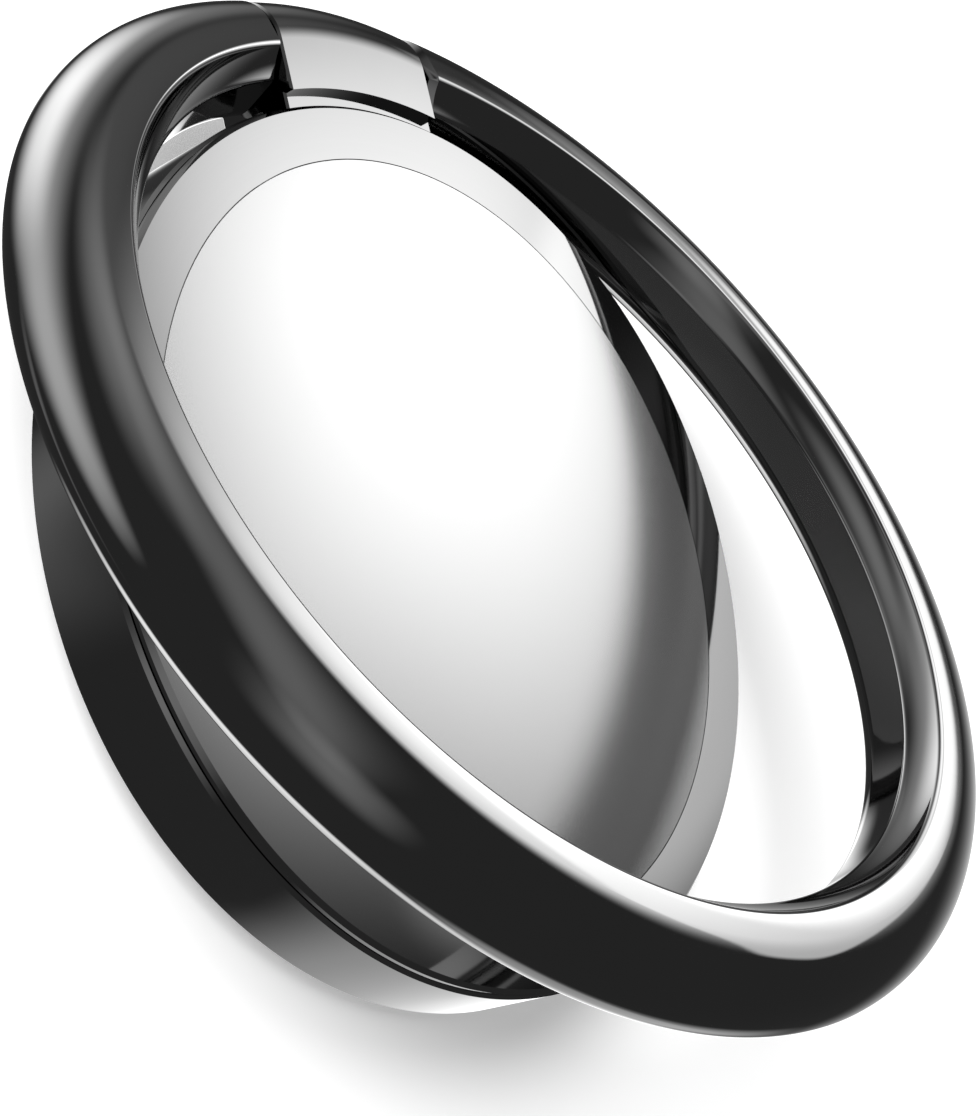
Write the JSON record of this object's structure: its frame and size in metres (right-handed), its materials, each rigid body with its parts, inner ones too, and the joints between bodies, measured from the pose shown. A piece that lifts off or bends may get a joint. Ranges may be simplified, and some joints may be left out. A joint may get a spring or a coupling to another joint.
{
  "type": "phone ring holder",
  "caption": "Stick-on phone ring holder: round base with a polished cap and satin inlay, a turning collar, and a bevelled finger ring hinged to the collar's lug.",
  "frame": {"origin": "centre of the adhesive face, on the surface that the holder is stuck to", "axes": "+Z out of the front face, along the axis that the collar turns on; +Y from the centre to the hinge; +X along the hinge pin"},
  "size_m": [0.04, 0.0382, 0.0156],
  "materials": {
    "adhesive_foam": "matte",
    "base_metal": "satin",
    "nylon": "matte",
    "steel": "satin",
    "polished_metal": "polished",
    "satin_metal": "satin",
    "black_nickel": "polished"
  },
  "bodies": {
    "base": {"adhesive_pad": "adhesive_foam", "base_plate": "base_metal", "friction_washer": "nylon", "disc_spring": "steel", "front_cap": "polished_metal", "front_inlay": "satin_metal", "centre_rivet": "steel"},
    "collar": {"swivel_collar": "black_nickel", "hinge_pin": "steel"},
    "ring": {"finger_ring": "black_nickel"}
  },
  "joints": [
    {"name": "collar_swivel", "type": "hinge", "parent": "base", "child": "collar", "pos_m": [0, 0, 0], "axis": [0, 0, 1], "continuous": true},
    {"name": "ring_flip", "type": "hinge", "parent": "collar", "child": "ring", "pos_m": [0, 0.01788, 0.0026], "axis": [-1, 0, 0], "range_deg": [-17.8, 162.2]}
  ]
}
